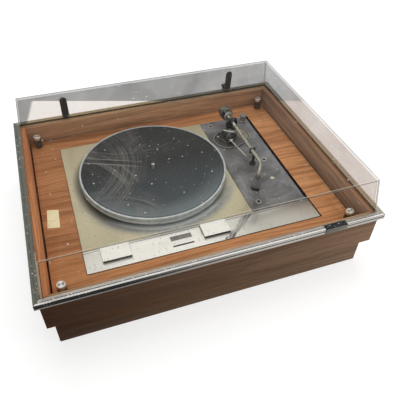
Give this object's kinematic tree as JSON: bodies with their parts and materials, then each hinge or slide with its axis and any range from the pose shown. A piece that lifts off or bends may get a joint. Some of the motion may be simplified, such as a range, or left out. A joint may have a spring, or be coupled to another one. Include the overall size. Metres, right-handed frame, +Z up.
{
  "type": "turntable",
  "caption": "Belt driven turntable in a stepped wooden plinth with a sprung motor board, tone arm and hinged clear dust cover.",
  "frame": {"origin": "centre of the whole outline on the shelf, at the flat underside of the base", "axes": "+Z up, +X to the right seen from the front, -Y towards the front with the control panel"},
  "size_m": [0.618, 0.5112, 0.2093],
  "materials": {
    "wall_veneer": "oiled wood veneer, warm brown",
    "base_veneer": "oiled wood veneer, darker brown",
    "board_veneer": "satin teak veneer, straight grain",
    "chipboard": "raw wood",
    "rail_metal": "brushed, clear anodised",
    "champagne": "champagne satin, anodised",
    "silver": "brushed silver",
    "textured_grey": "dark grey, fine texture",
    "cast_metal": "turned casting, satin",
    "black_rubber": "dull black, dusty",
    "black_plastic": "black, slightly worn",
    "black_metal": "black, semi-gloss",
    "grey_steel": "plain steel",
    "chrome": "bright chrome, lightly pitted",
    "tube_metal": "polished, slightly yellowed",
    "smoky_clear": "clear acrylic, slightly smoky, dusty",
    "window_grey": "grey clear plastic",
    "circuit_green": "printed circuit laminate",
    "copper": "steel core with copper winding"
  },
  "bodies": {
    "plinth": {"front_wall": "wall_veneer", "back_wall": "wall_veneer", "left_wall": "wall_veneer", "right_wall": "wall_veneer", "base_frame": "base_veneer", "bottom_panel": "chipboard", "corner_block_front_left": "chipboard", "corner_block_front_right": "chipboard", "corner_block_back_left": "chipboard", "corner_block_back_right": "chipboard", "edge_rail": "rail_metal", "rail_joint_cover": "black_plastic", "hinge_bracket_left": "black_metal", "hinge_bracket_right": "black_metal", "lead_gland": "black_rubber"},
    "cover": {"dust_cover": "smoky_clear", "hinge_strap_left": "black_metal", "hinge_strap_right": "black_metal"},
    "board": {"motor_board": "board_veneer", "deck_plate": "champagne", "control_panel": "silver", "strobe_window": "window_grey", "drive_motor": "black_metal", "transformer": "copper", "circuit_board": "circuit_green", "suspension_spring_front_left": "grey_steel", "suspension_spring_front_right": "grey_steel", "suspension_spring_back_left": "grey_steel", "suspension_spring_back_right": "grey_steel"},
    "level_knob_front_left": {"level_knob_front_left": "chrome"},
    "level_knob_front_right": {"level_knob_front_right": "chrome"},
    "level_knob_back_left": {"level_knob_back_left": "chrome"},
    "level_knob_back_right": {"level_knob_back_right": "chrome"},
    "motor_pulley": {"motor_pulley": "cast_metal"},
    "power_key": {"power_key": "silver"},
    "speed_key": {"speed_key": "silver"},
    "trim_wheel": {"trim_wheel": "black_plastic"},
    "sub_chassis": {"sub_chassis": "grey_steel", "bearing_housing": "grey_steel", "armboard": "textured_grey", "armboard_thumbscrew": "chrome", "arm_bedplate": "textured_grey", "arm_pillar": "grey_steel", "arm_rest": "black_plastic", "drive_belt": "black_rubber", "chassis_spring_left": "grey_steel", "chassis_spring_right": "grey_steel", "chassis_spring_back": "grey_steel"},
    "platter": {"platter": "cast_metal", "platter_mat": "black_rubber", "sub_platter": "cast_metal"},
    "lift_lever": {"lift_lever": "chrome"},
    "lift_platform": {"lift_platform": "silver"},
    "bearing_yoke": {"bearing_yoke": "black_metal"},
    "arm": {"arm_tube": "tube_metal", "headshell": "black_metal", "cartridge": "black_plastic"},
    "counterweight": {"counterweight": "grey_steel"}
  },
  "joints": [
    {"name": "cover_hinge", "type": "hinge", "parent": "plinth", "child": "cover", "pos_m": [0, 0.2511, 0.1435], "axis": [-1, 0, 0], "range_deg": [0, 70]},
    {"name": "board_float", "type": "slide", "parent": "plinth", "child": "board", "axis": [0, 0, 1], "range_m": [-0.004, 0.004], "stiffness_N_per_m": 30000, "springref_m": 0.00373, "deforming": ["suspension_spring_front_left", "suspension_spring_front_right", "suspension_spring_back_left", "suspension_spring_back_right"]},
    {"name": "subchassis_float", "type": "slide", "parent": "board", "child": "sub_chassis", "axis": [0, 0, 1], "range_m": [-0.0015, 0.0015], "stiffness_N_per_m": 12000, "springref_m": 0.00593, "deforming": ["chassis_spring_left", "chassis_spring_right", "chassis_spring_back"]},
    {"name": "platter_spin", "type": "hinge", "parent": "sub_chassis", "child": "platter", "pos_m": [-0.04875, 0.033, 0.107], "axis": [0, 0, -1], "continuous": true},
    {"name": "pulley_spin", "type": "hinge", "parent": "board", "child": "motor_pulley", "pos_m": [-0.14541, -0.03468, 0.08507], "axis": [0, 0, -1], "continuous": true},
    {"name": "power_key_slide", "type": "slide", "parent": "board", "child": "power_key", "axis": [1, 0, 0], "range_m": [0, 0.01]},
    {"name": "speed_key_slide", "type": "slide", "parent": "board", "child": "speed_key", "axis": [1, 0, 0], "range_m": [-0.008, 0.008]},
    {"name": "trim_wheel_turn", "type": "hinge", "parent": "board", "child": "trim_wheel", "pos_m": [-0.04825, -0.1723, 0.0691], "axis": [0, 1, 0], "range_deg": [-60, 60]},
    {"name": "arm_swing", "type": "hinge", "parent": "sub_chassis", "child": "bearing_yoke", "pos_m": [0.15825, 0.1145, 0.1333], "axis": [0, 0, -1], "range_deg": [0, 44]},
    {"name": "arm_lift", "type": "hinge", "parent": "bearing_yoke", "child": "arm", "pos_m": [0.15825, 0.1145, 0.1333], "axis": [-1, 0, 0], "range_deg": [0, 12]},
    {"name": "counterweight_slide", "type": "slide", "parent": "arm", "child": "counterweight", "axis": [0, 1, 0], "range_m": [-0.006, 0.006]},
    {"name": "lift_lever_turn", "type": "hinge", "parent": "sub_chassis", "child": "lift_lever", "pos_m": [0.1435, 0.07695, 0.1084], "axis": [-1, 0, 0], "range_deg": [0, 12]},
    {"name": "lift_platform_rise", "type": "slide", "parent": "sub_chassis", "child": "lift_platform", "axis": [0, 0, 1], "range_m": [0, 0.003]},
    {"name": "level_front_left_turn", "type": "hinge", "parent": "board", "child": "level_knob_front_left", "pos_m": [-0.266, -0.2125, 0.0794], "axis": [0, 0, 1], "range_deg": [-360, 360]},
    {"name": "level_front_right_turn", "type": "hinge", "parent": "board", "child": "level_knob_front_right", "pos_m": [0.266, -0.2125, 0.0794], "axis": [0, 0, 1], "range_deg": [-360, 360]},
    {"name": "level_back_left_turn", "type": "hinge", "parent": "board", "child": "level_knob_back_left", "pos_m": [-0.266, 0.2035, 0.0794], "axis": [0, 0, 1], "range_deg": [-360, 360]},
    {"name": "level_back_right_turn", "type": "hinge", "parent": "board", "child": "level_knob_back_right", "pos_m": [0.266, 0.2035, 0.0794], "axis": [0, 0, 1], "range_deg": [-360, 360]}
  ],
  "couplings": [
    {"joint": "pulley_spin", "follows": "platter_spin", "ratio": 12.5},
    {"joint": "lift_platform_rise", "follows": "lift_lever_turn", "m_per_rad": 0.014324}
  ]
}
